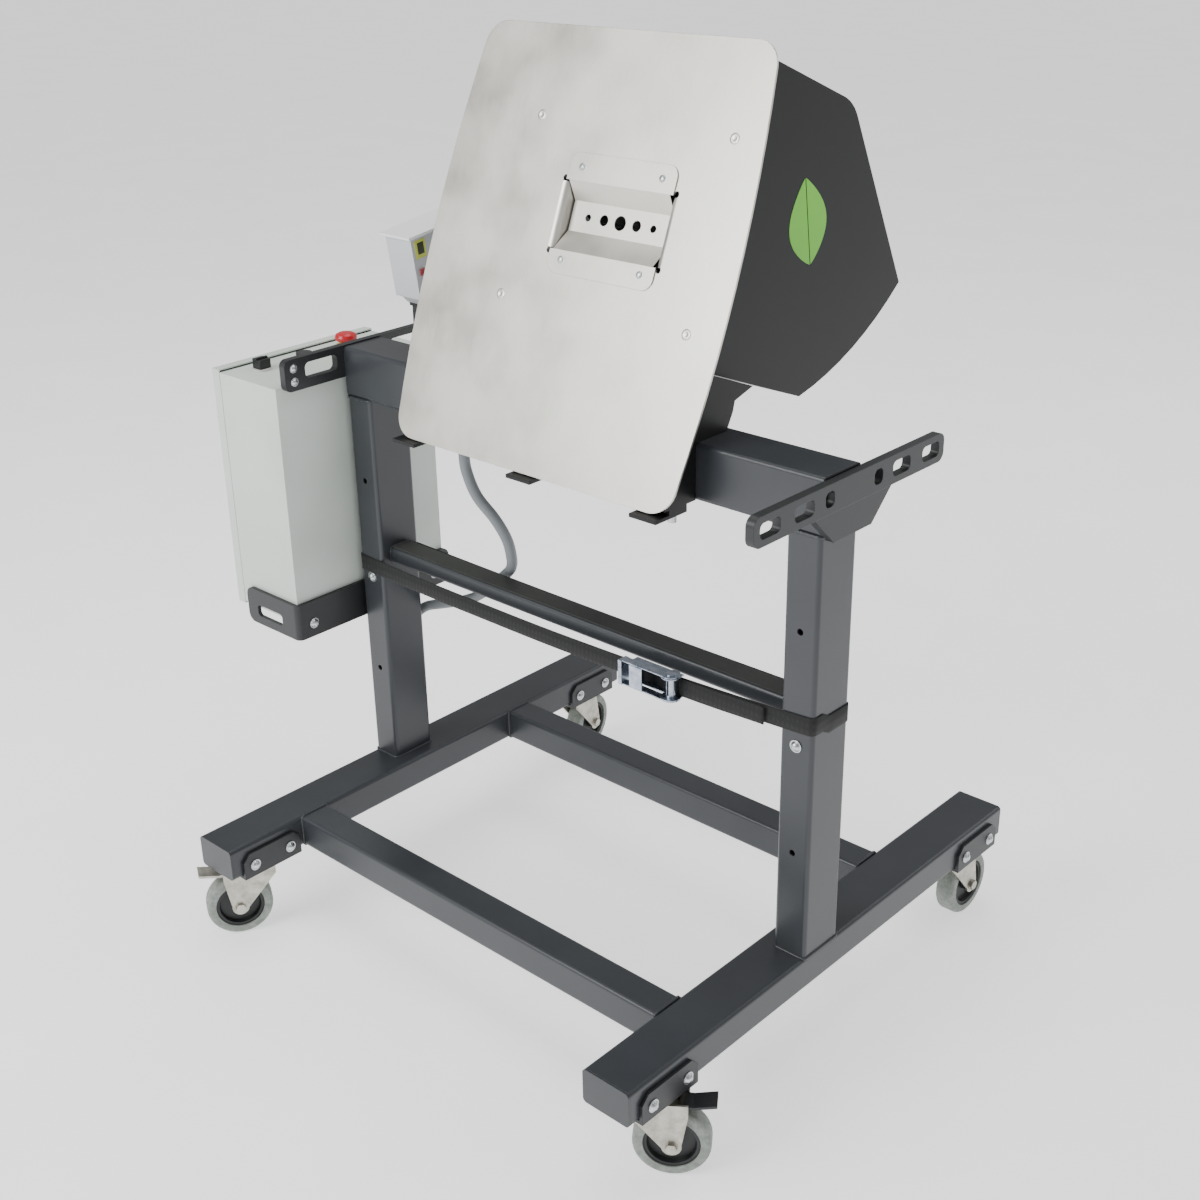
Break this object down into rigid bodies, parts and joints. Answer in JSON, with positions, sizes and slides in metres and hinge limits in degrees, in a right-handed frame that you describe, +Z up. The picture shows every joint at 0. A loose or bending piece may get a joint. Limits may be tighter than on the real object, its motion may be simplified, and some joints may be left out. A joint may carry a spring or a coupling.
{
  "type": "stem stripping machine",
  "caption": "Wheeled stand holding a tilted stainless feed plate with graded stem holes, a rear cowl over pull rollers, a control cabinet and a speed box.",
  "frame": {"origin": "middle of the bounding box at floor level, where the wheels stand", "axes": "+Z up, +Y away from the operator who faces the feed plate, +X to the operator's right"},
  "size_m": [1.0916, 0.8918, 1.3276],
  "materials": {
    "frame_paint": "satin anthracite powder coat",
    "bracket_paint": "satin near-black powder coat",
    "caster_zinc": "dull zinc plate",
    "tread_rubber": "grey rubber",
    "hub_plastic": "black moulded plastic",
    "bolt_zinc": "zinc plate",
    "webbing": "woven polyester",
    "buckle_zinc": "bluish zinc plate",
    "cabinet_paint": "pale grey-green paint, fine texture",
    "panel_zinc": "galvanised sheet",
    "yellow_plastic": "glossy",
    "red_plastic": "glossy",
    "pale_plastic": "glossy",
    "black_plastic": "glossy",
    "grey_plastic": "fine texture",
    "white_plastic": "smooth",
    "stainless": "fine brushed stainless",
    "cowl_paint": "satin black",
    "roller_rubber": "ground rubber",
    "gear_steel": "machined",
    "motor_paint": "smooth enamel",
    "gland_plastic": "moulded plastic",
    "conduit_plastic": "grey flexible plastic"
  },
  "bodies": {
    "stand": {"left_rail": "frame_paint", "right_rail": "frame_paint", "front_base_bar": "frame_paint", "rear_base_bar": "frame_paint", "left_upright": "frame_paint", "right_upright": "frame_paint", "top_beam": "frame_paint", "mid_crossbar": "frame_paint", "end_plate": "bracket_paint", "cabinet_bracket": "bracket_paint", "cabinet_handle": "bracket_paint", "rail_end_caps": "frame_paint", "caster_saddles": "bracket_paint", "frame_bolts": "bolt_zinc", "caster_plates": "caster_zinc", "strap_webbing": "webbing", "ratchet_frame": "buckle_zinc", "ratchet_spindle": "buckle_zinc", "cabinet_body": "cabinet_paint", "cabinet_hinges": "cabinet_paint", "cabinet_panel": "panel_zinc", "estop_base": "yellow_plastic", "selector_base": "pale_plastic", "drive_box": "grey_plastic", "drive_lid": "white_plastic", "drive_bracket": "bracket_paint", "face_plate": "stainless", "die_plate": "stainless", "die_screws": "bolt_zinc", "head_cradle": "cowl_paint", "head_bolts": "bolt_zinc", "cowl": "cowl_paint", "roller_frame": "gear_steel", "gear_motor": "motor_paint", "conduit_glands": "gland_plastic", "conduit": "conduit_plastic"},
    "swivel_fl": {"fork_fl": "caster_zinc"},
    "wheel_fl": {"tyre_fl": "tread_rubber", "hub_fl": "hub_plastic"},
    "swivel_fr": {"fork_fr": "caster_zinc"},
    "wheel_fr": {"tyre_fr": "tread_rubber", "hub_fr": "hub_plastic"},
    "swivel_rl": {"fork_rl": "caster_zinc"},
    "wheel_rl": {"tyre_rl": "tread_rubber", "hub_rl": "hub_plastic"},
    "swivel_rr": {"fork_rr": "caster_zinc"},
    "wheel_rr": {"tyre_rr": "tread_rubber", "hub_rr": "hub_plastic"},
    "pedal_fl": {"brake_fl": "caster_zinc"},
    "pedal_fr": {"brake_fr": "bracket_paint"},
    "door": {"cabinet_door": "cabinet_paint"},
    "latch": {"cabinet_latch": "black_plastic"},
    "estop": {"estop_button": "red_plastic"},
    "selector": {"selector_knob": "black_plastic"},
    "start": {"start_button": "black_plastic"},
    "ratchet": {"ratchet_handle": "buckle_zinc"},
    "lower_drive": {"lower_roller": "roller_rubber", "lower_gear": "gear_steel"},
    "upper_drive": {"upper_roller": "roller_rubber", "upper_gear": "gear_steel"}
  },
  "joints": [
    {"name": "swivel_fl_turn", "type": "hinge", "parent": "stand", "child": "swivel_fl", "pos_m": [-0.33268, -0.35924, 0.12], "axis": [0, 0, 1], "continuous": true},
    {"name": "wheel_fl_spin", "type": "hinge", "parent": "swivel_fl", "child": "wheel_fl", "pos_m": [-0.35018, -0.38955, 0.0508], "axis": [0.866, -0.5, 0], "continuous": true},
    {"name": "pedal_fl_press", "type": "hinge", "parent": "swivel_fl", "child": "pedal_fl", "pos_m": [-0.35768, -0.40254, 0.106], "axis": [0.866, -0.5, 0], "range_deg": [0, 15]},
    {"name": "swivel_fr_turn", "type": "hinge", "parent": "stand", "child": "swivel_fr", "pos_m": [0.46312, -0.35924, 0.12], "axis": [0, 0, 1], "continuous": true},
    {"name": "wheel_fr_spin", "type": "hinge", "parent": "swivel_fr", "child": "wheel_fr", "pos_m": [0.49144, -0.33867, 0.0508], "axis": [-0.5878, 0.809, 0], "continuous": true},
    {"name": "pedal_fr_press", "type": "hinge", "parent": "swivel_fr", "child": "pedal_fr", "pos_m": [0.50357, -0.32985, 0.106], "axis": [-0.5878, 0.809, 0], "range_deg": [0, 15]},
    {"name": "swivel_rl_turn", "type": "hinge", "parent": "stand", "child": "swivel_rl", "pos_m": [-0.33268, 0.35976, 0.12], "axis": [0, 0, 1], "continuous": true},
    {"name": "wheel_rl_spin", "type": "hinge", "parent": "swivel_rl", "child": "wheel_rl", "pos_m": [-0.33876, 0.39423, 0.0508], "axis": [-0.9848, -0.1736, 0], "continuous": true},
    {"name": "swivel_rr_turn", "type": "hinge", "parent": "stand", "child": "swivel_rr", "pos_m": [0.46312, 0.35976, 0.12], "axis": [0, 0, 1], "continuous": true},
    {"name": "wheel_rr_spin", "type": "hinge", "parent": "swivel_rr", "child": "wheel_rr", "pos_m": [0.46312, 0.39476, 0.0508], "axis": [-1, 0, 0], "continuous": true},
    {"name": "door_swing", "type": "hinge", "parent": "stand", "child": "door", "pos_m": [-0.52878, 0.10436, 0.638], "axis": [0, 0, -1], "range_deg": [0, 120]},
    {"name": "latch_turn", "type": "hinge", "parent": "door", "child": "latch", "pos_m": [-0.53778, -0.17424, 0.638], "axis": [-1, 0, 0], "range_deg": [0, 90]},
    {"name": "estop_press", "type": "slide", "parent": "stand", "child": "estop", "axis": [0, 0, -1], "range_m": [0, 0.0048], "stiffness_N_per_m": 900, "springref_m": -0.003},
    {"name": "selector_turn", "type": "hinge", "parent": "stand", "child": "selector", "pos_m": [-0.48278, -0.14824, 0.83], "axis": [0, 0, 1], "range_deg": [-45, 45]},
    {"name": "start_press", "type": "slide", "parent": "stand", "child": "start", "axis": [0, 0, -1], "range_m": [0, 0.0027], "stiffness_N_per_m": 700, "springref_m": -0.002},
    {"name": "ratchet_handle_turn", "type": "hinge", "parent": "stand", "child": "ratchet", "pos_m": [0.28122, -0.09384, 0.525], "axis": [0, 0, 1], "range_deg": [0, 150]},
    {"name": "lower_roller_spin", "type": "hinge", "parent": "stand", "child": "lower_drive", "pos_m": [0.11522, 0.02032, 1.06449], "axis": [1, 0, 0], "continuous": true},
    {"name": "upper_roller_spin", "type": "hinge", "parent": "stand", "child": "upper_drive", "pos_m": [0.11522, 0.03905, 1.11085], "axis": [1, 0, 0], "continuous": true}
  ],
  "couplings": [
    {"joint": "upper_roller_spin", "follows": "lower_roller_spin", "ratio": -1}
  ]
}
